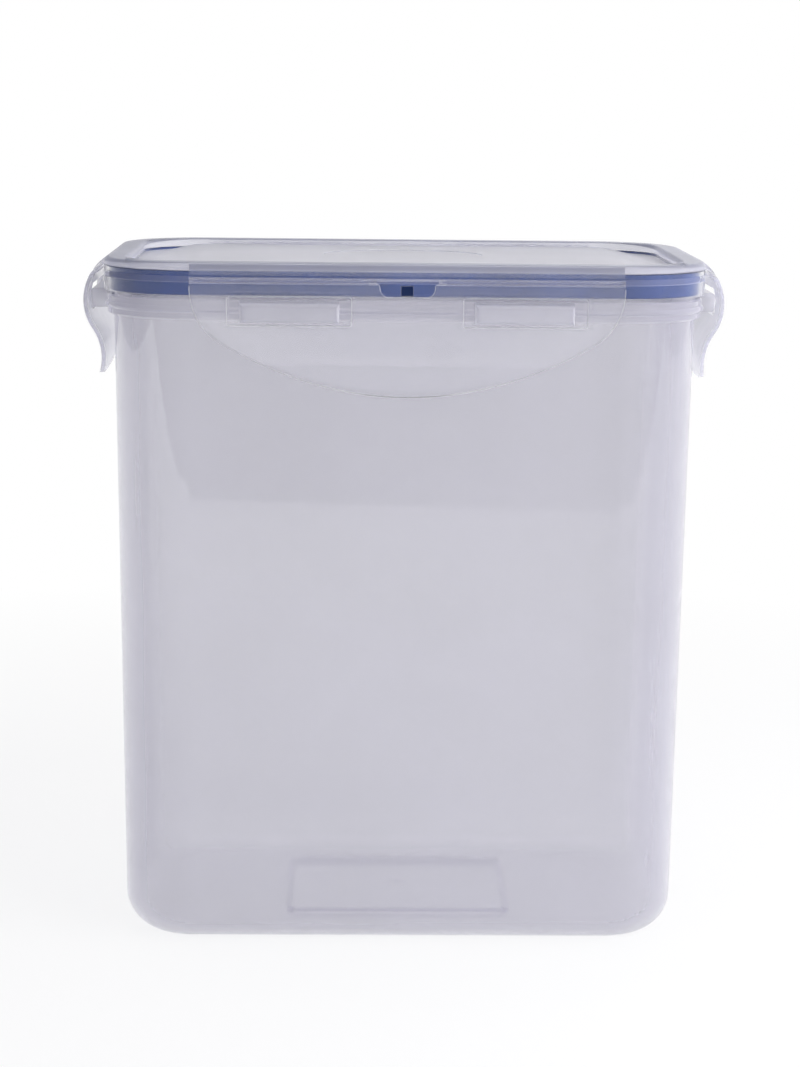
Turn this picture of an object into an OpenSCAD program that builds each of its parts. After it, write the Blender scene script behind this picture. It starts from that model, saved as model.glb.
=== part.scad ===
// Tall snap-lock food canister: a drafted container, a lid with a silicone gasket
// in its rim channel, and four locking flaps on living hinges.
// X is the width, -Y is the front, Z is up. The origin is on the ground at the middle.
//
// Sections of the rim are drawn in a plane of r and z. r is measured from the centres
// of the four upright corners, which every wall, rim and channel shares, so a straight
// side and a corner have the same section all the way round.

/* [Overall] */
// Width across the lid's skirt, without the flaps
lid_w = 194; // [160:1:240]
// Depth across the lid's skirt, without the flaps
lid_d = 120; // [108:1:180]
// Height from the ground to the top of the lid's ridge
total_h = 225; // [120:1:300]
// Outer radius of the lid's upright corners
lid_corner_r = 28.5; // [27:0.5:32]

/* [Container] */
// Thickness of the container's wall and floor
wall = 2; // [1.6:0.1:2.2]
// Draft of the container's wall, from upright
draft = 0.7; // [0.3:0.1:1.5]
// How far the wall stands inside the lid's skirt, just below the collar
wall_inset = 3.1; // [2.8:0.1:3.3]
// Radius of the fillet between the wall and the ground
base_fillet = 12.9; // [8:0.1:16]
// Width of the raised panel in the floor
pad_w = 76; // [40:1:100]
// Depth of the raised panel in the floor
pad_d = 57; // [30:1:64]
// Height of the raised panel above the floor
pad_rise = 2.4; // [0.8:0.1:4]
// Diameter of the moulding gate's well in the underside
gate_d = 7; // [4:0.5:10]

/* [Collar and lip] */
// Height of the collar around the wall
collar_h = 6.4; // [6:0.1:7]
// How far the collar stands inside the lid's skirt
collar_inset = 0.9; // [0.6:0.1:1.4]
// Radius of the bead around the collar
bead_r = 1.3; // [0.8:0.1:1.6]
// How far the bead stands out from the collar
bead_out = 0.7; // [0.3:0.1:0.8]
// Gap between the lid's skirt and the collar's top
skirt_gap = 1.1; // [0.6:0.1:1.6]
// Height of the lip above the collar
lip_h = 5; // [4:0.1:5.4]

/* [Lid] */
// Thickness of the lid's skirt, plug wall and panel
lid_wall = 1.6; // [1.2:0.1:1.8]
// Thickness of the ridge above the gasket
ridge_t = 2.9; // [2.4:0.1:3]
// Height of the lid's skirt, from the ridge's top to its lower edge
skirt_h = 10.6; // [10.4:0.1:10.8]
// Width of the channel that holds the gasket
channel_w = 5; // [4.6:0.1:5.4]
// Depth of the plug wall below the ridge's top
plug_h = 12.5; // [10:0.5:18]
// Depth of the panel's moat below the ridge's top
moat_drop = 3.4; // [2.8:0.1:4]
// Rise of the panel's plateau above the moat
plateau_rise = 2.3; // [1:0.1:2.6]
// Length of the plateau's slopes at the lid's two ends
end_slope = 19; // [8:0.5:24]
// Length of the plateau's slopes along the lid's front and back
side_slope = 5; // [3:0.5:8]
// Width of the flat floor of the moat
moat_w = 3; // [1:0.5:6]
// Width of the blank label field on the plateau
label_w = 53; // [30:1:80]
// Depth of the blank label field on the plateau
label_d = 42; // [20:1:50]
// Width of the pry window in the skirt, behind the notch
window_w = 3.8; // [2:0.2:6]
// Height of the pry window
window_h = 3.1; // [2:0.1:3.4]

/* [Gasket] */
// Gap between the container's lip and each gasket lip
seal_gap = 0.35; // [0.3:0.05:0.4]
// Gap between the container's lip and the gasket's web
seat_gap = 0.6; // [0.3:0.1:1]
// Gap between the gasket and each side of its channel
channel_gap = 0.05; // [0.02:0.01:0.1]

/* [Flaps] */
// Thickness of a flap
flap_t = 1.4; // [1.2:0.1:1.6]
// How far a flap's bulge stands out from the lid's skirt
flap_bulge = 7.05; // [6.6:0.05:8]
// Depth of the bulge's furthest line below the ridge's top
bulge_drop = 14.7; // [14.4:0.1:15.2]
// Outer radius of the bulge
bulge_r = 17.2; // [15:0.1:20]
// Radius of the hollow below the bulge, on its outer face
hollow_r = 16; // [12:0.5:20]
// How far the hollow's deepest line stands out from the lid's skirt
hollow_out = 1.95; // [1.6:0.05:3]
// Depth of a flap's tip below the ridge's top
flap_drop = 41.4; // [36:0.1:46]
// Width of the front and back flaps
long_flap_w = 135.8; // [124:0.2:136]
// Width of the two side flaps
short_flap_w = 61; // [54:1:61]
// Radius of a flap's two lower corners
flap_corner_r = 22; // [12:1:24]
// Radius of a long flap's lower edge
long_edge_r = 112; // [100:1:160]
// Radius of a side flap's lower edge
short_edge_r = 45; // [38:1:60]
// Width of the notch in a long flap's upper edge
notch_w = 17; // [10:0.5:24]
// Depth of the notch below the hinge line
notch_h = 4.6; // [3:0.1:5]

/* [Hinges and locks] */
// Depth of the hinge line below the ridge's top
hinge_drop = 5.2; // [5:0.1:5.6]
// Width of the groove that makes the living hinge
groove_w = 1.3; // [1.2:0.05:1.5]
// Thickness of the living hinge's film
film_t = 0.35; // [0.25:0.05:0.4]
// Depth of the film's middle below the flap's outer face
film_depth = 0.3; // [0.25:0.05:0.35]
// Width of a slot in a flap
slot_w = 38.5; // [30:0.5:42]
// Height of a slot
slot_h = 8.7; // [8:0.1:9.2]
// Depth of a slot's upper edge below the ridge's top
slot_drop = 10.1; // [9.8:0.1:10.6]
// Distance between the middles of a long flap's two slots
slot_pitch = 73.4; // [62:0.2:76]
// Width of the raised frame around a slot
frame_w = 1.7; // [1:0.1:2.5]
// Height of the raised frame
frame_rise = 0.6; // [0.3:0.1:0.9]
// Width of a catch
catch_w = 31; // [20:0.5:32]
// Height of a catch's nose
catch_h = 6.2; // [5.5:0.1:6.3]
// Fall of a catch's top from the collar to its nose, which leads the flap over it
catch_fall = 0.4; // [0.2:0.1:0.6]
// Gap between a slot's lower edge and the catch above it
lock_gap = 0.55; // [0.4:0.05:0.8]
// Radius of the catch's lower outer edge, which the flap snaps over
catch_edge_r = 1.5; // [1.3:0.1:1.6]
// How far a catch's nose stops short of the flap's outer face
catch_short = 0.4; // [0.3:0.1:1]

/* [Hidden] */
$fn = 72;
eps = 0.01;
// Overrun of a cut or a root past the face that it opens or joins
over = 1;

// Corner centres
corner_x = lid_w / 2 - lid_corner_r;
corner_y = lid_d / 2 - lid_corner_r;

// How far the plateau's slopes start below the moat's floor, so that they rise from a crisp line
slope_sink = 0.1;

// Heights
skirt_z = total_h - skirt_h;
collar_z = skirt_z - skirt_gap;
collar_low_z = collar_z - collar_h;
lip_z = collar_z + lip_h;
channel_z = total_h - ridge_t;
web_z = lip_z + seat_gap;
moat_z = total_h - moat_drop;
plateau_z = moat_z + plateau_rise - slope_sink;
slot_top_z = total_h - slot_drop;
slot_low_z = slot_top_z - slot_h;
tip_z = total_h - flap_drop;

// Radii of the rim's section
wall_r = lid_corner_r - wall_inset;
lip_mid_r = wall_r - wall / 2;
channel_out_r = lip_mid_r + channel_w / 2;
channel_in_r = lip_mid_r - channel_w / 2;
recess_r = channel_in_r - lid_wall;
collar_r = lid_corner_r - collar_inset;
bead_step = 0.2;
bevel = 0.5;
plug_lean = 0.6;
plug_straight = 2;
ridge_round_r = 1.6;
lip_round_r = wall / 2;
gasket_w = channel_w - 2 * channel_gap;
gasket_lip_t = (gasket_w - wall) / 2 - seal_gap;
gasket_rise = 0.8;
gasket_low_z = skirt_z + gasket_rise;

// Section of the container's wall, outside and inside
wall_foot_r = wall_r - tan(draft) * collar_low_z;
inner_fillet = base_fillet - wall;
inner_foot_r = wall_foot_r - wall / cos(draft);

// Corners of the floor's panel, and the gate's well with the stub in it
pad_corner_r = 5;
gate_depth = 0.6;
gate_stub = 0.4;
gate_stub_d = 1.6;

// Lid: sink and end straights of the label field, and height of the window above the skirt's edge
label_sink = 0.3;
label_end = 2;
window_rise = 0.6;

// The strip above the groove reaches into the skirt, and its arc runs on to just below the ridge's top
strip_root = 0.2;
strip_sink = 0.05;
strip_end_a = 75;

// Section of a flap: the bulge's centre, the hollow's centre and the angle where they meet
bulge_cr = lid_corner_r + flap_bulge - bulge_r;
bulge_cz = total_h - bulge_drop;
hollow_cr = lid_corner_r + hollow_out + hollow_r;
hollow_cz = bulge_cz - sqrt(pow(bulge_r + hollow_r, 2) - pow(hollow_cr - bulge_cr, 2));
meet_a = atan2(hollow_cz - bulge_cz, hollow_cr - bulge_cr);
// The hollow's arc runs on past the tip, where the outline cuts it off
hollow_end_a = 232;

// The hinge line lies in the film's middle
film_r = bulge_r - film_depth;
hinge_z = total_h - hinge_drop;
hinge_a = asin((hinge_z - bulge_cz) / film_r);
groove_a = asin(groove_w / 2 / film_r);

// Catches
catch_low_z = slot_low_z + lock_gap;
catch_r = bulge_cr + sqrt(pow(bulge_r, 2) - pow(catch_low_z - bulge_cz, 2)) - catch_short;
catch_wall = 1.6;
catch_round_r = 1.2;
catch_skin = 0.1;
// How far a catch's plan, with its two round corners, reaches past the nose
plan_ease = 0.05;

// Corners of the notch, the slots and the frames
notch_round_r = 2.6;
flare_r = 1.2;
slot_round_r = 0.8;
frame_round_r = 1.2;

clear = [0.80, 0.80, 0.86, 0.6];
clear_lid = [0.74, 0.74, 0.82, 0.6];
clear_flap = [0.86, 0.86, 0.91, 0.6];
silicone_blue = [0.13, 0.19, 0.46];

// ---------------------------------------------------------------- sweeps

// One side of the canister: a section in r and z, drawn along the side that faces
// +Y when side is 0, -X when it is 1, -Y when it is 2 and +X when it is 3.
module along(side, len) {
    along_at(side, 0, len) children();
}

// A section carried round all four sides and corners
module around() {
    for (side = [0:3])
        along(side, 2 * (side % 2 == 0 ? corner_x : corner_y)) children();
    for (side = [0:3])
        translate([side == 0 || side == 3 ? corner_x : -corner_x,
                   side < 2 ? corner_y : -corner_y, 0])
            rotate([0, 0, 90 * side])
                rotate_extrude(angle = 90) children();
}

// The block between the corner centres that closes a floor or a panel
module middle(z, h) {
    translate([-corner_x, -corner_y, z]) cube([2 * corner_x, 2 * corner_y, h]);
}

// ---------------------------------------------------------------- plane shapes

// A rectangle whose corners are round, about the origin
module rounded(w, h, r) {
    square([w - 2 * r, h], center = true);
    square([w, h - 2 * r], center = true);
    for (x = [-1, 1], y = [-1, 1])
        translate([x * (w / 2 - r), y * (h / 2 - r)]) circle(r);
}

// A sector's wedge from angle a to angle b, under 180 degrees apart
module wedge(a, b, r) {
    m = (a + b) / 2;
    polygon([[0, 0], r * [cos(a), sin(a)],
             1.5 * r * [cos(m), sin(m)], r * [cos(b), sin(b)]]);
}

// A flat ring's sector
module sector(r_in, r_out, a, b) {
    intersection() {
        difference() {
            circle(r_out, $fn = 144);
            circle(r_in, $fn = 144);
        }
        wedge(a, b, r_out * 2);
    }
}

// ---------------------------------------------------------------- container

// Solid section of a drafted wall over a filleted foot, from foot_z up to z
module wall_solid(foot_r, foot_z, fillet, z) {
    mid_r = foot_r + tan(draft) * (foot_z + fillet) - fillet / cos(draft);
    intersection() {
        union() {
            translate([mid_r, foot_z + fillet]) circle(fillet, $fn = 120);
            polygon([[0, foot_z], [mid_r, foot_z],
                     [mid_r + fillet * cos(draft), foot_z + fillet * (1 - sin(draft))],
                     [foot_r + tan(draft) * z, z], [0, z]]);
        }
        translate([0, foot_z]) square([foot_r * 2, z - foot_z]);
    }
}

// The wall, its floor's outer part, the collar with its bead, and the lip
module container_section() {
    difference() {
        wall_solid(wall_foot_r, 0, base_fillet, collar_low_z + over);
        wall_solid(inner_foot_r, wall, inner_fillet, collar_low_z + 2 * over);
    }
    translate([lip_mid_r - wall / 2, collar_low_z])
        square([wall, lip_z - lip_round_r - collar_low_z]);
    translate([lip_mid_r, lip_z - lip_round_r]) circle(lip_round_r);
    collar_section();
}

// The collar has a round foot, a bead and a bevelled shoulder below the skirt
module collar_section() {
    bead_z = collar_low_z + collar_h / 2;
    root_r = lip_mid_r + wall / 4;
    low_r = collar_r - bead_step;
    polygon([[root_r, collar_low_z + bevel], [low_r - bevel, collar_low_z],
             [low_r, collar_low_z + bevel], [low_r, bead_z],
             [collar_r, bead_z], [collar_r, collar_z - bevel],
             [collar_r - bevel, collar_z], [root_r, collar_z]]);
    translate([collar_r - bead_r + bead_out, bead_z]) circle(bead_r);
}

// Section of a catch: a round nose that a flap's slot snaps over
module catch_section() {
    root_r = collar_r - over;
    top_z = catch_low_z + catch_h;
    nose_z = top_z - catch_round_r;
    polygon([[root_r, catch_low_z], [catch_r - catch_edge_r, catch_low_z],
             [catch_r, catch_low_z + catch_edge_r], [catch_r, nose_z],
             [catch_r - catch_round_r, top_z], [root_r, top_z + catch_fall]]);
    translate([catch_r - catch_edge_r, catch_low_z + catch_edge_r]) circle(catch_edge_r);
    translate([catch_r - catch_round_r, nose_z]) circle(catch_round_r);
}

// Turns and shifts its children to a place u along a side, with +Y outward
module at_side(side, u) {
    rotate([0, 0, 90 * side])
        translate([u, side % 2 == 0 ? corner_y : corner_x, 0]) children();
}

// A section in r and z, of length len, whose middle is at u along a side
module along_at(side, u, len) {
    at_side(side, u)
        translate([-len / 2, 0, 0])
            rotate([90, 0, 90]) linear_extrude(len) children();
}

// A catch is a hood, open below, with round corners in plan
module catch_hood(side, u) {
    difference() {
        intersection() {
            along_at(side, u, catch_w) catch_section();
            at_side(side, u)
                translate([0, 0, catch_low_z - over])
                    linear_extrude(catch_h + catch_fall + 2 * over)
                        rounded(catch_w, 2 * (catch_r + plan_ease), catch_round_r);
        }
        along_at(side, u, catch_w - 2 * catch_wall)
            translate([collar_r + catch_skin, catch_low_z - over])
                square([catch_r - catch_wall - collar_r - catch_skin,
                        catch_h - catch_wall + over]);
    }
}

// The floor's raised panel, and the hollow that it leaves in the underside
module pad(w, d, r, z, h) {
    translate([0, 0, z]) linear_extrude(h) rounded(w, d, r);
}

module container() {
    color(clear) {
        difference() {
            union() {
                around() container_section();
                middle(0, wall);
                pad(pad_w, pad_d, pad_corner_r, wall - eps, pad_rise + eps);
            }
            pad(pad_w - 2 * wall, pad_d - 2 * wall, pad_corner_r - wall, -over, pad_rise + over);
            translate([0, 0, pad_rise - eps]) cylinder(h = gate_depth + eps, d = gate_d);
        }
        translate([0, 0, pad_rise + gate_depth - gate_stub])
            cylinder(h = gate_stub + wall / 2, d = gate_stub_d);
        for (side = [0, 2], s = [-1, 1]) catch_hood(side, s * slot_pitch / 2);
        for (side = [1, 3]) catch_hood(side, 0);
    }
}

// ---------------------------------------------------------------- lid

// Skirt, ridge and plug wall: an upside-down channel that holds the gasket
module lid_section() {
    difference() {
        union() {
            translate([recess_r, skirt_z])
                square([lid_corner_r - recess_r, skirt_h - ridge_round_r]);
            translate([recess_r + ridge_round_r, skirt_z])
                square([lid_corner_r - recess_r - 2 * ridge_round_r, skirt_h]);
            for (r = [recess_r + ridge_round_r, lid_corner_r - ridge_round_r])
                translate([r, total_h - ridge_round_r]) circle(ridge_round_r);
            plug_section();
        }
        translate([channel_in_r, skirt_z - over])
            square([channel_out_r - channel_in_r, channel_z - skirt_z + over]);
    }
}

// The plug wall leans inward at its foot, to lead the lid into the container
module plug_section() {
    low_z = total_h - plug_h;
    straight_z = skirt_z + plug_straight;
    polygon([[recess_r, moat_z - lid_wall], [recess_r - plug_lean / 2, low_z + plug_lean / 2],
             [recess_r, low_z], [channel_in_r - plug_lean - plug_lean / 2, low_z],
             [channel_in_r - plug_lean, low_z + plug_lean], [channel_in_r, straight_z],
             [channel_in_r, straight_z + over], [recess_r, straight_z + over]]);
}

// A plateau's section, of half-length half, from deep below z up to its surface. Its two
// S-shaped slopes are made of two arcs each, and start level at z.
module plateau_section(half, slope, z, deep) {
    rise = plateau_rise;
    s_r = (slope * slope / rise + rise) / 4;
    top = half - slope;
    knee = half - slope / 2;
    translate([-top, z - deep]) square([2 * top, deep + rise]);
    translate([-knee, z - deep]) square([2 * knee, deep + rise / 2]);
    for (m = [0, 1])
        mirror([m, 0]) {
            intersection() {
                translate([top, z + rise - s_r]) circle(s_r, $fn = 360);
                translate([top - eps, z + rise / 2 - eps]) square([slope, rise]);
            }
            difference() {
                translate([knee - eps, z - deep]) square([slope / 2 + eps, deep + rise / 2]);
                translate([half, z + s_r]) circle(s_r, $fn = 360);
            }
        }
}

// The plateau as a body: long slopes at the ends, short ones at the front and back
module plateau_body(half_x, half_y, z, deep) {
    corner_r = half_x - corner_x;
    intersection() {
        translate([0, 0, z - deep - over])
            linear_extrude(deep + plateau_rise + 2 * over) rounded(2 * half_x, 2 * half_y, corner_r);
        translate([0, half_y, 0]) rotate([90, 0, 0])
            linear_extrude(2 * half_y) plateau_section(half_x, end_slope, z, deep);
        translate([-half_x, 0, 0]) rotate([90, 0, 90])
            linear_extrude(2 * half_x) plateau_section(half_y, side_slope, z, deep);
    }
}

// The recessed panel: the moat's floor all round, and the plateau hollow below
module panel() {
    half_x = corner_x + recess_r - moat_w;
    half_y = corner_y + recess_r - moat_w;
    difference() {
        union() {
            around() translate([0, moat_z - lid_wall]) square([recess_r + eps, lid_wall]);
            middle(moat_z - lid_wall, lid_wall);
            plateau_body(half_x, half_y, moat_z - slope_sink, lid_wall / 2);
        }
        plateau_body(half_x - lid_wall, half_y - lid_wall, moat_z - lid_wall - slope_sink, over);
        translate([0, 0, plateau_z - label_sink])
            linear_extrude(label_sink + over) rounded(label_w, label_d, (label_d - label_end) / 2);
    }
}

// The part of a flap's bulge that stays on the lid, above the groove
module strip_section() {
    intersection() {
        translate([bulge_cr, bulge_cz])
            sector(bulge_r - flap_t, bulge_r, hinge_a + groove_a, strip_end_a);
        translate([channel_out_r + strip_root, skirt_z])
            square([bulge_r, skirt_h - strip_sink]);
    }
}

module lid() {
    color(clear_lid) {
        difference() {
            union() {
                around() lid_section();
                panel();
                for (side = [0, 2]) along(side, long_flap_w) strip_section();
                for (side = [1, 3]) along(side, short_flap_w) strip_section();
            }
            for (side = [0, 2])
                along(side, window_w)
                    translate([channel_out_r - over, skirt_z + window_rise])
                        square([lid_wall + 2 * over, window_h]);
        }
    }
}

// ---------------------------------------------------------------- gasket

// A saddle that sits in the channel, with a lip on each side of the container's lip
module gasket_section() {
    translate([lip_mid_r - gasket_w / 2, web_z]) square([gasket_w, channel_z - web_z]);
    for (m = [0, 1])
        translate([lip_mid_r, 0]) mirror([m, 0]) {
            translate([gasket_w / 2 - gasket_lip_t, gasket_low_z])
                square([gasket_lip_t, web_z - gasket_low_z]);
            translate([gasket_w / 2 - gasket_lip_t / 2, gasket_low_z]) circle(gasket_lip_t / 2);
        }
}

module gasket() {
    color(silicone_blue) around() gasket_section();
}

// ---------------------------------------------------------------- flaps

// The S-shaped section: a bulge over the catches, then a hollow that flicks out at the tip
module flap_section(t_out) {
    translate([bulge_cr, bulge_cz])
        sector(bulge_r - flap_t, bulge_r + t_out, meet_a, hinge_a - groove_a);
    translate([hollow_cr, hollow_cz])
        sector(hollow_r - t_out, hollow_r + flap_t, 180 + meet_a, hollow_end_a);
}

// The D-shaped outline, seen square on: straight sides, round corners, curved lower edge
module flap_outline(w, edge_r) {
    corner_u = w / 2 - flap_corner_r;
    edge_z = tip_z + edge_r;
    corner_z = edge_z - sqrt(pow(edge_r - flap_corner_r, 2) - pow(corner_u, 2));
    a = atan2(corner_z - edge_z, corner_u);
    difference() {
        intersection() {
            translate([-w / 2, tip_z - over]) square([w, total_h - tip_z]);
            translate([0, edge_z]) circle(edge_r, $fn = 360);
        }
        for (m = [0, 1])
            mirror([m, 0])
                translate([corner_u, corner_z])
                    difference() {
                        wedge(a, 0, flap_corner_r * 2);
                        circle(flap_corner_r);
                    }
    }
}

// The notch between the two films: round lower corners and flared upper ones
module notch() {
    flare_z = hinge_z - groove_w / 2;
    translate([0, hinge_z]) rounded(notch_w, 2 * notch_h, notch_round_r);
    difference() {
        translate([-notch_w / 2 - flare_r, flare_z - flare_r])
            square([notch_w + 2 * flare_r, flare_r + notch_h]);
        for (s = [-1, 1])
            translate([s * (notch_w / 2 + flare_r), flare_z - flare_r]) circle(flare_r);
    }
}

// A slot or its frame, as a plane shape in the flap's outline
module slots(pitches, grow, r) {
    for (u = pitches)
        translate([u, (slot_top_z + slot_low_z) / 2])
            rounded(slot_w + 2 * grow, slot_h + 2 * grow, r);
}

// A shape in the outline's plane, pushed outward through the flap on one side of the canister
module through(side) {
    rotate([0, 0, 90 * side])
        translate([0, side % 2 == 0 ? corner_y : corner_x, 0])
            rotate([90, 0, 180])
                linear_extrude(lid_corner_r + flap_bulge + frame_rise + over) children();
}

module flap(side, w, edge_r, pitches, notched) {
    difference() {
        union() {
            intersection() {
                along(side, w + 2 * over) flap_section(0);
                through(side) flap_outline(w, edge_r);
            }
            intersection() {
                along(side, w + 2 * over) flap_section(frame_rise);
                through(side) slots(pitches, frame_w, frame_round_r);
            }
        }
        through(side) slots(pitches, 0, slot_round_r);
        if (notched) through(side) notch();
    }
}

module long_flap(side) {
    color(clear_flap)
        flap(side, long_flap_w, long_edge_r, [-slot_pitch / 2, slot_pitch / 2], true);
}

module short_flap(side) {
    color(clear_flap) flap(side, short_flap_w, short_edge_r, [0], false);
}

// ---------------------------------------------------------------- living hinges

// The film across the groove
module film_section() {
    translate([bulge_cr, bulge_cz])
        sector(film_r - film_t / 2, film_r + film_t / 2, hinge_a - groove_a, hinge_a + groove_a);
}

module long_hinge(side) {
    color(clear_flap)
        difference() {
            along(side, long_flap_w) film_section();
            through(side) notch();
        }
}

module short_hinge(side) {
    color(clear_flap) along(side, short_flap_w) film_section();
}

container();
lid();
gasket();
long_flap(2);  // front_flap
long_flap(0);  // back_flap
short_flap(1);  // left_flap
short_flap(3);  // right_flap
long_hinge(2);  // front_hinge
long_hinge(0);  // back_hinge
short_hinge(1);  // left_hinge
short_hinge(3);  // right_hinge
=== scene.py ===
"""A snap-lock food canister of frosted polypropylene with a blue silicone gasket, on a white table."""
import math

import bmesh
import bpy
from mathutils import Matrix, Vector


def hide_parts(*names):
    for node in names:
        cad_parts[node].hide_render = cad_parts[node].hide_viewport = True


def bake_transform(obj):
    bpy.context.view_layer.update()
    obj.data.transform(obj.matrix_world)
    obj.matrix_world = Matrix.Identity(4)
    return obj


# The camera, from the outlines in the photograph: place in metres, angles in radians
CAMERA_AT = (-0.01948, -0.83394, 0.28343)
CAMERA_YAW = 0.0233
CAMERA_DOWN = 0.1836
CAMERA_ROLL = 0.0111
CAMERA_LENS = 111.45
CAMERA_SENSOR = 36
CAMERA_NEAR = 0.02

# The canister's sizes that the films and the looks follow, in metres, as in part.scad
LID_HALF = (0.097, 0.060)
TOP_Z = 0.225
BULGE_R = 0.0172
BULGE_OUT = 0.00705
BULGE_Z = TOP_Z - 0.0147
HINGE_Z = TOP_Z - 0.0052
FILM_T = 0.00035
FILM_DEPTH = 0.0003
FILM_THIN = 0.72
FILM_STEPS = (10, 24)
GROOVE_W = 0.0013
LONG_W = 0.1358
SHORT_W = 0.061
NOTCH_W = 0.017
NOTCH_FLARE = 0.0012
PANEL_HALF = (0.0888, 0.0518)

# Clear polypropylene: the colour that it scatters, the tint of what passes, and how far light goes in it, in metres
PLASTIC = (0.60, 0.595, 0.68)
BODY_PLASTIC = (0.495, 0.483, 0.575)
# the side flaps share the flaps' plastic; their colour is made lighter here as painted light
SIDE_LIT_PLASTIC = (0.70, 0.695, 0.775)
LID_PLASTIC = (0.72, 0.715, 0.80)
CLEAR = (0.985, 0.984, 0.994)
LAMP_CLEAR = (0.97, 0.97, 0.975)
LAMP_SHARE = 0.6
IOR = 1.49
GLOSS_ROUGH = 0.03
GLOSS_IOR = 1.7
# the *_EDGE values set how strongly the edges are whitened as a painted highlight
BODY_SKIN, BODY_REACH, BODY_ROUGH, BODY_COAT, BODY_EDGE = 0.12, 0.0048, 0.07, 0.75, 0.35
LID_SKIN, LID_REACH, LID_ROUGH, LID_COAT, LID_EDGE = 0.012, 0.03, 0.06, 0.0, 0.35
FLAP_SKIN, FLAP_REACH, FLAP_ROUGH, FLAP_COAT, FLAP_EDGE = 0.015, 0.018, 0.12, 0.1, 1.0
SIDE_SKIN, SIDE_REACH = 0.35, 0.006
# Above the gasket the lid's ridge is thick and milky
CROWN_SKIN = 0.50
CROWN_DEPTH = 0.0027
CROWN_FADE = 0.0005
# Along the hinges' grooves the painted edge highlight is mostly left off, except beside the notch
GROOVE_LOW = 0.2178
GROOVE_EDGE = 0.05
# and the groove's own walls are this clear, this far above and below the hinge
GROOVE_HALF = 0.0010
GROOVE_CLEAR = 0.55
# Around a slot the painted edge highlight is weakened on the frame's outer edge
FRAME_SOFT = 0.08
SLOT_AT = (0.0367, 0.21055)
SLOT_HALF = (0.01925, 0.00435)
FRAME_W = 0.0017
# The catches stand out past the rim, and are milky
CATCH_OUT = (0.0978, 0.0608)
CATCH_SKIN = 0.33
CATCH_PALE = 0.4
# The lid's recessed panel has a matt skin
PANEL_SKIN = 0.25
PANEL_ROUGH = 0.4
PANEL_LEVELS = (0.8, 0.97)
# Moulded edges are rounded over this radius and whitened there as a painted highlight, where the normal turns between
# these two levels
EDGE_R = 0.0005
EDGE_SAMPLES = 3
EDGE_LEVELS = (0.75, 0.99)
# Noise, per metre: flow marks, mottle and the fine skin; and the height of the skin's grain, in metres
FLOW_SCALE, MOTTLE_SCALE, FINE_SCALE = 22, 160, 1500
MOTTLE_RISE = 1.4
GRAIN = 0.000012
GRAIN_STRENGTH = 0.6
# How far the flow marks move the tone, the haze and the gloss
TONES = (0.94, 1.05)
HAZE_DRIFT = 0.05
BLUR_SPREAD = (0.85, 1.2)
DIFFUSE_ROUGH = 0.4
# The share of the scattered light that goes on through
THROUGH = 0.45
# Silicone: its colour, clouds and skin, gloss and sheen
SILICONE = (0.0135, 0.041, 0.17)
SILICONE_ROUGH = (0.40, 0.53)
SILICONE_TONES = (0.85, 1.2)
SILICONE_CLOUD, SILICONE_SKIN = 60, 1800
SILICONE_GRAIN = 0.00003
SILICONE_STRENGTH = 0.5
SILICONE_SHEEN = 0.04
SILICONE_SPECULAR = 0.2
# Bare in the pry window, the silicone is in the shade, painted into its colour by this factor
WINDOW_HALF = 0.0019
WINDOW_TOP = 0.2182
WINDOW_SHADE = 0.35

# Stage: the table keeps a share of its shadow near the canister
FLOOR_COLOUR = (0.86, 0.86, 0.87)
FLOOR_SCALE = 3
FLOOR_TONE = 1.02
FLOOR_SHADOW = 0.3
FLOOR_SHADOW_NEAR = 0.22
FLOOR_SHADOW_FAR = 0.55
# The table's front edge, at its left and right ends
FLOOR_FRONT = (-1.0, -0.6)
FLOOR_BACK = 3.0
FLOOR_SIDE = 1.6
FLOOR_Z = -0.0002
ROOM_DIFFUSE = 0.55
ROOM_TINT = (0.97, 0.97, 1.0)
# The mirrored room is dim in front and above, lighter behind
ROOM_FRONT = 0.25
ROOM_BACK = 0.6
ROOM_RISE = 0.4
ROOM_DEPTH = (0.1, 0.75)
# and brighter towards the right
ROOM_RIGHT = 0.35
ROOM_TURN = (-0.02, 0.14)
# Lamps: their places, sizes in metres and power in watts
KEY_AT, KEY_SIZE, KEY_POWER = (0.8, -0.45, 0.45), 0.9, 13.0
FILL_AT, FILL_SIZE, FILL_POWER = (-0.9, -0.7, 0.5), 0.7, 0.6
TOP_AT, TOP_SIZE, TOP_POWER = (0.1, 0.3, 1.2), 1.0, 2.5
LIT_Z, TOP_LIT_Z = 0.12, 0.1
# How often light goes on, through clear shadows and in all
CLEAR_BOUNCES = 48
LIGHT_BOUNCES = 32


# ------------------------------------------------------------------ node helpers

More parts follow.
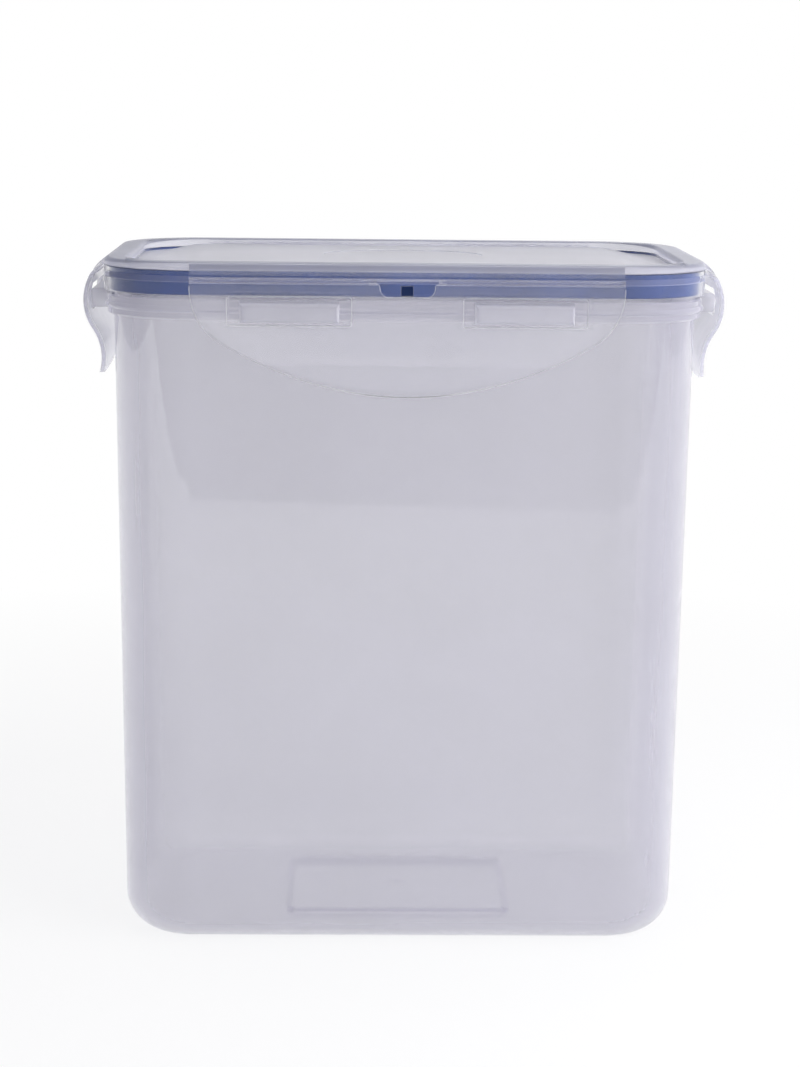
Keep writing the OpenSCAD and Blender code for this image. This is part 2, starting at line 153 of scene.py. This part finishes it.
class Nodes:
    """A short way to add and join nodes in one tree."""

    def __init__(self, tree):
        self.tree = tree
        tree.nodes.clear()

    def add(self, kind, inputs=None, **settings):
        n = self.tree.nodes.new(kind)
        for key, value in settings.items():
            setattr(n, key, value)
        for key, value in (inputs or {}).items():
            self.put(n.inputs[key], value)
        return n

    def put(self, socket, value):
        if isinstance(value, bpy.types.NodeSocket):
            self.tree.links.new(value, socket)
        elif isinstance(value, bpy.types.Node):
            self.tree.links.new(value.outputs[0], socket)
        elif isinstance(value, tuple) and len(value) == 3 and socket.type == "RGBA":
            socket.default_value = (*value, 1)
        else:
            socket.default_value = value

    def math(self, op, a, b=None, clamp=False):
        n = self.add("ShaderNodeMath", operation=op, use_clamp=clamp)
        self.put(n.inputs[0], a)
        if b is not None:
            self.put(n.inputs[1], b)
        return n.outputs[0]

    def apart(self, a, b):
        return self.math("ABSOLUTE", self.math("SUBTRACT", a, b))

    def beyond(self, place, x, y):
        """1 where the place is past x or past y."""
        past_x = self.math("GREATER_THAN", place["X"], x)
        past_y = self.math("GREATER_THAN", place["Y"], y)
        return self.math("MAXIMUM", past_x, past_y)

    def noise(self, vector, scale, detail=3.0, rough=0.5):
        n = self.add("ShaderNodeTexNoise", {"Vector": vector, "Scale": scale, "Detail": detail, "Roughness": rough})
        return n.outputs["Fac"]

    def spread(self, value, low, high, from_low=0.3, from_high=0.7):
        n = self.add("ShaderNodeMapRange", {"Value": value, "From Min": from_low, "From Max": from_high,
                                            "To Min": low, "To Max": high})
        return n.outputs[0]

    def mix_shader(self, factor, a, b):
        n = self.add("ShaderNodeMixShader")
        self.put(n.inputs[0], factor)
        self.put(n.inputs[1], a)
        self.put(n.inputs[2], b)
        return n.outputs[0]


def material(name):
    m = bpy.data.materials.new(name)
    m.use_nodes = True
    return m, Nodes(m.node_tree)


def frosted(name, colour, skin, reach, rough, coat, painted_edge_highlight, panel=False, catches=False):
    """Moulded polypropylene: see-through, milky where light goes far inside it, with flow marks, a fine skin,
    a painted highlight whitening the edges, and a satin gloss. skin is the share that a face scatters, and reach how
    far light goes before it is lost."""
    m, k = material(name)
    at = k.add("ShaderNodeTexCoord").outputs["Object"]
    flow = k.noise(at, FLOW_SCALE, 4, 0.55)
    mottle = k.noise(at, MOTTLE_SCALE, 3, 0.6)
    fine = k.noise(at, FINE_SCALE, 2, 0.5)
    face = k.add("ShaderNodeNewGeometry").outputs
    path = k.add("ShaderNodeLightPath").outputs
    bumps = k.math("ADD", k.math("MULTIPLY", mottle, MOTTLE_RISE), fine)
    bump = k.add("ShaderNodeBump", {"Height": bumps, "Distance": GRAIN, "Strength": GRAIN_STRENGTH}).outputs[0]
    # moulded edges are a little round, and their colour is whitened there as a painted highlight, where they would
    # catch the light
    bevel = k.add("ShaderNodeBevel", {"Radius": EDGE_R}, samples=EDGE_SAMPLES).outputs[0]
    level = k.add("ShaderNodeVectorMath", {0: bevel, 1: face["Normal"]}, operation="DOT_PRODUCT").outputs["Value"]
    edge = k.spread(level, painted_edge_highlight, 0.0, *EDGE_LEVELS)
    mirrored = k.add("ShaderNodeVectorMath", {0: at}, operation="ABSOLUTE")
    place = k.add("ShaderNodeSeparateXYZ", {"Vector": mirrored}).outputs
    beside = k.math("LESS_THAN", place["X"], NOTCH_W / 2 + 3 * NOTCH_FLARE)
    below = k.math("LESS_THAN", place["Z"], GROOVE_LOW)
    edge = k.math("MULTIPLY", edge, k.spread(k.math("MAXIMUM", beside, below), GROOVE_EDGE, 1.0, 0.0, 1.0))
    over_x = k.math("SUBTRACT", k.apart(place["X"], SLOT_AT[0]), SLOT_HALF[0])
    over_z = k.math("SUBTRACT", k.apart(place["Z"], SLOT_AT[1]), SLOT_HALF[1])
    frame_edge = k.math("LESS_THAN", k.apart(k.math("MAXIMUM", over_x, over_z), FRAME_W), FRAME_W / 2)
    edge = k.math("MULTIPLY", edge, k.spread(frame_edge, 1.0, FRAME_SOFT, 0.0, 1.0))
    tone = k.add("ShaderNodeMix", data_type="RGBA")
    k.put(tone.inputs[0], k.spread(flow, 0.0, 1.0))
    k.put(tone.inputs[6], tuple(TONES[0] * c for c in colour))
    k.put(tone.inputs[7], tuple(min(1, TONES[1] * c) for c in colour))
    outside_rim = k.beyond(place, *CATCH_OUT)
    whiter = k.math("MAXIMUM", edge, k.math("MULTIPLY", outside_rim, CATCH_PALE)) if catches else edge
    # painted highlight: the colour is whitened at the edges; on the catches it is also paler, as milky plastic
    pale = k.add("ShaderNodeMix", {0: whiter}, data_type="RGBA")
    k.put(pale.inputs[6], tone.outputs[2])
    k.put(pale.inputs[7], (1.0, 1.0, 1.0))
    # the haze of the face itself, and on the way out that of the plastic behind it
    drift = k.math("MULTIPLY", k.math("SUBTRACT", k.math("ADD", mottle, flow), 1.0), HAZE_DRIFT)
    shallow = k.math("ADD", skin, drift, clamp=True)
    blur = k.spread(mottle, rough * BLUR_SPREAD[0], rough * BLUR_SPREAD[1])
    if panel:
        normal = k.add("ShaderNodeSeparateXYZ", {"Vector": face["Normal"]}).outputs
        up = k.spread(normal["Z"], 0.0, 1.0, *PANEL_LEVELS)
        crown_z = TOP_Z - CROWN_DEPTH
        crown = k.spread(place["Z"], 0.0, CROWN_SKIN, crown_z, crown_z + CROWN_FADE)
        within = k.math("SUBTRACT", 1.0, k.beyond(place, *PANEL_HALF))
        matt = k.math("MULTIPLY", up, within)
        ridge = k.math("SUBTRACT", 1.0, matt)
        shallow = k.math("ADD", shallow, k.math("MULTIPLY", matt, PANEL_SKIN))
        shallow = k.math("ADD", shallow, k.math("MULTIPLY", ridge, crown))
        blur = k.math("ADD", blur, k.math("MULTIPLY", matt, PANEL_ROUGH))
    if catches:
        shallow = k.math("ADD", shallow, k.math("MULTIPLY", outside_rim, CATCH_SKIN))
    kept = k.math("EXPONENT", k.math("MULTIPLY", path["Ray Length"], -1 / reach))
    deep = k.math("SUBTRACT", 1.0, kept)
    haze = k.add("ShaderNodeMix", {0: face["Backfacing"], 2: shallow, 3: deep}).outputs[0]
    # the painted edge highlight also makes the edges scatter more
    haze = k.math("MAXIMUM", haze, edge)
    diffuse = k.add("ShaderNodeBsdfDiffuse", {"Color": pale.outputs[2], "Roughness": DIFFUSE_ROUGH, "Normal": bevel})
    through = k.add("ShaderNodeBsdfTranslucent", {"Color": pale.outputs[2]})
    scatter = k.mix_shader(THROUGH, diffuse, through)
    glass = k.add("ShaderNodeBsdfPrincipled", {"Base Color": CLEAR, "Normal": bump, "Roughness": blur})
    glass.inputs["Transmission Weight"].default_value = 1.0
    glass.inputs["IOR"].default_value = IOR
    glass.inputs["Coat Weight"].default_value = coat
    glass.inputs["Coat Roughness"].default_value = GLOSS_ROUGH
    glass.inputs["Coat IOR"].default_value = GLOSS_IOR
    body = k.mix_shader(haze, glass.outputs[0], scatter)
    if not catches:
        # the walls of the groove are soft, so they hardly bend what is behind them
        groove = k.math("LESS_THAN", k.apart(place["Z"], HINGE_Z), GROOVE_HALF)
        see = k.add("ShaderNodeBsdfTransparent", {"Color": CLEAR})
        body = k.mix_shader(k.math("MULTIPLY", groove, GROOVE_CLEAR), body, see.outputs[0])
    # light from the lamps and from other surfaces passes straight through, a little weaker
    clear = k.add("ShaderNodeBsdfTransparent", {"Color": LAMP_CLEAR})
    lamp = k.math("MAXIMUM", path["Is Shadow Ray"], path["Is Diffuse Ray"])
    out = k.add("ShaderNodeOutputMaterial")
    lit = k.mix_shader(k.math("MULTIPLY", shallow, LAMP_SHARE), clear.outputs[0], scatter)
    k.put(out.inputs["Surface"], k.mix_shader(lamp, body, lit))
    return m


def silicone(name):
    """Matt moulded silicone with faint clouds, a fine skin and painted shade in the pry window."""
    m, k = material(name)
    at = k.add("ShaderNodeTexCoord").outputs["Object"]
    cloud = k.noise(at, SILICONE_CLOUD, 3, 0.5)
    skin = k.noise(at, SILICONE_SKIN, 2, 0.5)
    tone = k.add("ShaderNodeMix", data_type="RGBA")
    k.put(tone.inputs[0], k.spread(cloud, 0.0, 1.0))
    k.put(tone.inputs[6], tuple(SILICONE_TONES[0] * c for c in SILICONE))
    k.put(tone.inputs[7], tuple(SILICONE_TONES[1] * c for c in SILICONE))
    bump = k.add("ShaderNodeBump", {"Height": skin, "Distance": SILICONE_GRAIN, "Strength": SILICONE_STRENGTH}).outputs[0]
    place = k.add("ShaderNodeSeparateXYZ", {"Vector": at}).outputs
    aside = k.math("GREATER_THAN", k.math("ABSOLUTE", place["X"]), WINDOW_HALF)
    above = k.math("GREATER_THAN", place["Z"], WINDOW_TOP)
    shade = k.spread(k.math("MAXIMUM", aside, above), WINDOW_SHADE, 1.0, 0.0, 1.0)
    # painted shade: the silicone's colour is darkened in the pry window
    deep = k.add("ShaderNodeVectorMath", {0: tone.outputs[2], "Scale": shade}, operation="SCALE").outputs[0]
    rough = k.spread(cloud, *SILICONE_ROUGH)
    p = k.add("ShaderNodeBsdfPrincipled", {"Base Color": deep, "Normal": bump, "Roughness": rough})
    p.inputs["Sheen Weight"].default_value = SILICONE_SHEEN
    p.inputs["Specular IOR Level"].default_value = SILICONE_SPECULAR
    out = k.add("ShaderNodeOutputMaterial")
    k.put(out.inputs["Surface"], p.outputs[0])
    return m


def paint(obj, m):
    obj.data.materials.clear()
    obj.data.materials.append(m)


# ------------------------------------------------------------------ hinge films

def film(name, side, spans):
    """A living hinge's film: a thin curved strip across the groove, for each span along the side."""
    half = LID_HALF[0] if side % 2 else LID_HALF[1]
    centre = half + BULGE_OUT - BULGE_R
    mid_r = BULGE_R - FILM_DEPTH
    mid_a = math.asin((HINGE_Z - BULGE_Z) / mid_r)
    half_a = math.asin(GROOVE_W / 2 / mid_r)
    across, along = FILM_STEPS
    turn = Matrix.Rotation(math.radians(90 * side), 4, "Z")
    bm = bmesh.new()
    for low, high in spans:
        rings = []
        for i in range(along + 1):
            u = low + (high - low) * i / along
            ring = []
            for face in (1, -1):
                for j in range(across + 1):
                    share = j / across if face == 1 else 1 - j / across
                    a = mid_a + half_a * (2 * share - 1)
                    # the film is thinnest at its middle and thickens into the walls of the groove
                    t = FILM_T * (FILM_THIN + (1 - FILM_THIN) * (2 * share - 1) ** 2)
                    r = mid_r + face * t / 2
                    ring.append(bm.verts.new(turn @ Vector((u, centre + r * math.cos(a), BULGE_Z + r * math.sin(a)))))
            rings.append(ring)
        n = len(rings[0])
        for a, b in zip(rings, rings[1:]):
            for j in range(n):
                bm.faces.new((a[j], a[(j + 1) % n], b[(j + 1) % n], b[j]))
        bm.faces.new(rings[0])
        bm.faces.new(rings[-1][::-1])
    bmesh.ops.recalc_face_normals(bm, faces=bm.faces)
    mesh = bpy.data.meshes.new(name)
    bm.to_mesh(mesh)
    bm.free()
    for p in mesh.polygons:
        p.use_smooth = len(p.vertices) == 4
    o = bpy.data.objects.new(name, mesh)
    bpy.context.scene.collection.objects.link(o)
    ends = []
    for s in (1, -1):
        a = mid_a + s * half_a
        ends.append(turn @ Vector((0, centre + mid_r * math.cos(a), BULGE_Z + mid_r * math.sin(a))))
    return o, ends


# ------------------------------------------------------------------ stage

def area_lamp(name, at, size, power, lit_z=LIT_Z):
    """A soft lamp that faces the canister's middle and isn't mirrored in it."""
    d = bpy.data.lights.new(name, "AREA")
    d.shape = "RECTANGLE"
    d.size = d.size_y = size
    d.energy = power
    o = bpy.data.objects.new(name, d)
    o.location = at
    o.rotation_euler = (Vector((0, 0, lit_z)) - Vector(at)).to_track_quat("-Z", "Y").to_euler()
    o.visible_glossy = False
    o.visible_transmission = False
    bpy.context.scene.collection.objects.link(o)


def floor():
    bm = bmesh.new()
    corners = [(-FLOOR_SIDE, FLOOR_FRONT[0]), (FLOOR_SIDE, FLOOR_FRONT[1]),
               (FLOOR_SIDE, FLOOR_BACK), (-FLOOR_SIDE, FLOOR_BACK)]
    bm.faces.new([bm.verts.new((x, y, FLOOR_Z)) for x, y in corners])
    mesh = bpy.data.meshes.new("floor")
    bm.to_mesh(mesh)
    bm.free()
    o = bpy.data.objects.new("floor", mesh)
    bpy.context.scene.collection.objects.link(o)
    m, k = material("floor_white")
    path = k.add("ShaderNodeLightPath").outputs
    bounced = k.math("MAXIMUM", path["Is Glossy Ray"], path["Is Transmission Ray"])
    seen = k.math("MAXIMUM", path["Is Camera Ray"], bounced)
    at = k.add("ShaderNodeTexCoord").outputs["Object"]
    tone = k.add("ShaderNodeMix", data_type="RGBA")
    k.put(tone.inputs[0], k.noise(at, FLOOR_SCALE))
    k.put(tone.inputs[6], FLOOR_COLOUR)
    k.put(tone.inputs[7], tuple(FLOOR_TONE * c for c in FLOOR_COLOUR))
    diffuse = k.add("ShaderNodeBsdfDiffuse", {"Color": tone.outputs[2]})
    white = k.add("ShaderNodeEmission", {"Color": (1, 1, 1), "Strength": 1.0})
    # seen by the camera the table is white, and near the canister it keeps a share of its shadow
    far = k.add("ShaderNodeVectorMath", {"Vector": at}, operation="LENGTH").outputs["Value"]
    share = k.spread(far, 1 - FLOOR_SHADOW, 1.0, FLOOR_SHADOW_NEAR, FLOOR_SHADOW_FAR)
    out = k.add("ShaderNodeOutputMaterial")
    k.put(out.inputs["Surface"], k.mix_shader(k.math("MULTIPLY", seen, share), diffuse, white))
    paint(o, m)


def room():
    """White behind, as the camera sees it; dimmer in front, so that the plastic mirrors the table's edge."""
    w = bpy.data.worlds.new("room")
    bpy.context.scene.world = w
    w.use_nodes = True
    k = Nodes(w.node_tree)
    path = k.add("ShaderNodeLightPath").outputs
    way = k.add("ShaderNodeSeparateXYZ", {"Vector": k.add("ShaderNodeTexCoord").outputs["Generated"]}).outputs
    level = k.math("SUBTRACT", way["Y"], k.math("MULTIPLY", way["Z"], ROOM_RISE))
    depth = k.spread(level, ROOM_FRONT, ROOM_BACK, *ROOM_DEPTH)
    depth = k.math("ADD", depth, k.spread(way["X"], 0.0, ROOM_RIGHT, *ROOM_TURN))
    mirrored = k.add("ShaderNodeBackground", {"Color": (1, 1, 1), "Strength": depth})
    plain = k.add("ShaderNodeBackground", {"Color": ROOM_TINT, "Strength": ROOM_DIFFUSE})
    white = k.add("ShaderNodeBackground", {"Color": (1, 1, 1), "Strength": 1.0})
    mixed = k.mix_shader(path["Is Glossy Ray"], plain, mirrored)
    clear = k.math("MAXIMUM", path["Is Camera Ray"], path["Is Transmission Ray"])
    out = k.add("ShaderNodeOutputWorld")
    k.put(out.inputs["Surface"], k.mix_shader(clear, mixed, white))


def camera():
    data = bpy.data.cameras.new("photo_camera")
    data.sensor_fit = "HORIZONTAL"
    data.sensor_width = CAMERA_SENSOR
    data.lens = CAMERA_LENS
    data.clip_start = CAMERA_NEAR
    o = bpy.data.objects.new("photo_camera", data)
    bpy.context.scene.collection.objects.link(o)
    cy, sy = math.cos(CAMERA_YAW), math.sin(CAMERA_YAW)
    cp, sp = math.cos(CAMERA_DOWN), math.sin(CAMERA_DOWN)
    forward = Vector((sy * cp, cy * cp, -sp))
    right = Vector((cy, -sy, 0))
    up = right.cross(forward)
    cr, sr = math.cos(CAMERA_ROLL), math.sin(CAMERA_ROLL)
    right, up = cr * right + sr * up, cr * up - sr * right
    turn = Matrix((right, up, -forward)).transposed().to_4x4()
    o.matrix_world = Matrix.Translation(CAMERA_AT) @ turn
    bpy.context.scene.camera = o


def lights():
    area_lamp("key", KEY_AT, KEY_SIZE, KEY_POWER)
    area_lamp("fill", FILL_AT, FILL_SIZE, FILL_POWER)
    area_lamp("top", TOP_AT, TOP_SIZE, TOP_POWER, TOP_LIT_Z)


# ------------------------------------------------------------------ the object

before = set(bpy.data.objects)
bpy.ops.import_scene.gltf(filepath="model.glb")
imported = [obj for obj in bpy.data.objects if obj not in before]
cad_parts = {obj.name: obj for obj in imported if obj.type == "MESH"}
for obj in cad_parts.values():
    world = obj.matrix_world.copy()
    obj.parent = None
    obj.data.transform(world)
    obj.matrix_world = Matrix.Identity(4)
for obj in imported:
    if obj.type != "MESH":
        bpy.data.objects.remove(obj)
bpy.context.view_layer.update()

body_plastic = frosted("container_plastic", BODY_PLASTIC, BODY_SKIN, BODY_REACH, BODY_ROUGH, BODY_COAT, BODY_EDGE,
                       catches=True)
lid_plastic = frosted("lid_plastic", LID_PLASTIC, LID_SKIN, LID_REACH, LID_ROUGH, LID_COAT, LID_EDGE, panel=True)
flap_plastic = frosted("flap_plastic", PLASTIC, FLAP_SKIN, FLAP_REACH, FLAP_ROUGH, FLAP_COAT, FLAP_EDGE)
side_lit_plastic = frosted("side_flap_lit_plastic", SIDE_LIT_PLASTIC, SIDE_SKIN, SIDE_REACH, FLAP_ROUGH, FLAP_COAT, FLAP_EDGE)
paint(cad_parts["container"], body_plastic)
paint(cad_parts["lid"], lid_plastic)
paint(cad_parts["gasket"], silicone("gasket_silicone"))
for side, way in enumerate(("back", "left", "front", "right")):
    paint(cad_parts[way + "_flap"], side_lit_plastic if side % 2 else flap_plastic)
    width = SHORT_W if side % 2 else LONG_W
    gap = NOTCH_W / 2 + NOTCH_FLARE
    spans = [(-width / 2, width / 2)] if side % 2 else [(-width / 2, -gap), (gap, width / 2)]
    piece, (start, end) = film(way + "_hinge_film", side, spans)
    paint(piece, flap_plastic)
    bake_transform(piece)
    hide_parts(way + "_hinge")

floor()
room()
lights()
camera()
scene = bpy.context.scene
scene.view_settings.view_transform = "Standard"
scene.cycles.transparent_max_bounces = CLEAR_BOUNCES
scene.cycles.transmission_bounces = LIGHT_BOUNCES
scene.cycles.max_bounces = LIGHT_BOUNCES
